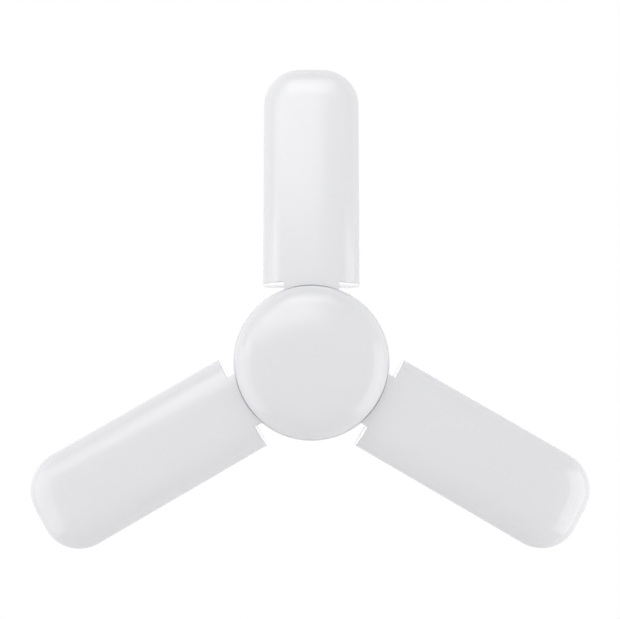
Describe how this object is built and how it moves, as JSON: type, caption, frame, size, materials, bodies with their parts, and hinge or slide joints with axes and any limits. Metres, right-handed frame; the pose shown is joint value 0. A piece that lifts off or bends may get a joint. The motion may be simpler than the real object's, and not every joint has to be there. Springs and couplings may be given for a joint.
{
  "type": "folding leaf led lamp",
  "caption": "Folding ceiling lamp with a screw cap, a round opal hub and opal leaves that swing from level up to the cap.",
  "frame": {"origin": "on the lamp's axis, at the plane where the screw shell meets the neck housing", "axes": "+Z along the screw cap towards its centre contact, up as the lamp hangs; leaf 1 points along +Y; the light faces look along -Z"},
  "size_m": [0.2156, 0.1907, 0.1063],
  "materials": {
    "opal_cover": "opal, satin moulded",
    "white_housing": "white, fine moulded",
    "plated_cap": "nickel plated, rolled thread",
    "black_insulator": "black glassy insulator",
    "contact_metal": "tinned brass",
    "plate_aluminium": "rolled sheet",
    "white_board": "white solder mask on metal core",
    "light_chips": "yellow phosphor in a white frame",
    "screw_steel": "zinc plated",
    "washer_steel": "spring steel",
    "driver_board": "green solder mask",
    "capacitor_sleeve": "black sleeve",
    "coil_copper": "enamelled copper on ferrite",
    "film_block": "dipped",
    "black_component": "moulded",
    "fuse_body": "coated ceramic",
    "lead_insulation": "soft insulation"
  },
  "bodies": {
    "hub": {"cap_shell": "plated_cap", "cap_insulator": "black_insulator", "cap_contact": "contact_metal", "neck_housing": "white_housing", "neck_screws": "screw_steel", "hub_housing": "white_housing", "hub_heat_plate": "plate_aluminium", "hub_led_board": "white_board", "hub_leds": "light_chips", "hub_screws": "screw_steel", "hub_cover": "opal_cover", "driver_board": "driver_board", "driver_capacitor": "capacitor_sleeve", "driver_inductor": "coil_copper", "driver_film_capacitor": "film_block", "driver_chips": "black_component", "driver_fuse": "fuse_body", "driver_leads": "lead_insulation", "mains_leads": "lead_insulation", "leaf_1_hinge_pins": "screw_steel", "leaf_1_friction_washers": "washer_steel", "leaf_1_leads": "lead_insulation", "leaf_2_hinge_pins": "screw_steel", "leaf_2_friction_washers": "washer_steel", "leaf_2_leads": "lead_insulation", "leaf_3_hinge_pins": "screw_steel", "leaf_3_friction_washers": "washer_steel", "leaf_3_leads": "lead_insulation"},
    "leaf_1": {"leaf_1_back": "white_housing", "leaf_1_cover": "opal_cover", "leaf_1_heat_plate": "plate_aluminium", "leaf_1_led_board": "white_board", "leaf_1_leds": "light_chips", "leaf_1_screws": "screw_steel"},
    "leaf_2": {"leaf_2_back": "white_housing", "leaf_2_cover": "opal_cover", "leaf_2_heat_plate": "plate_aluminium", "leaf_2_led_board": "white_board", "leaf_2_leds": "light_chips", "leaf_2_screws": "screw_steel"},
    "leaf_3": {"leaf_3_back": "white_housing", "leaf_3_cover": "opal_cover", "leaf_3_heat_plate": "plate_aluminium", "leaf_3_led_board": "white_board", "leaf_3_leds": "light_chips", "leaf_3_screws": "screw_steel"}
  },
  "joints": [
    {"name": "leaf_1_fold", "type": "hinge", "parent": "hub", "child": "leaf_1", "pos_m": [0, 0.0259, -0.056], "axis": [1, 0, 0], "range_deg": [0, 90], "deforming": ["leaf_1_leads"]},
    {"name": "leaf_2_fold", "type": "hinge", "parent": "hub", "child": "leaf_2", "pos_m": [-0.02243, -0.01295, -0.056], "axis": [-0.5, 0.866, 0], "range_deg": [0, 90], "deforming": ["leaf_2_leads"]},
    {"name": "leaf_3_fold", "type": "hinge", "parent": "hub", "child": "leaf_3", "pos_m": [0.02243, -0.01295, -0.056], "axis": [-0.5, -0.866, 0], "range_deg": [0, 90], "deforming": ["leaf_3_leads"]}
  ]
}
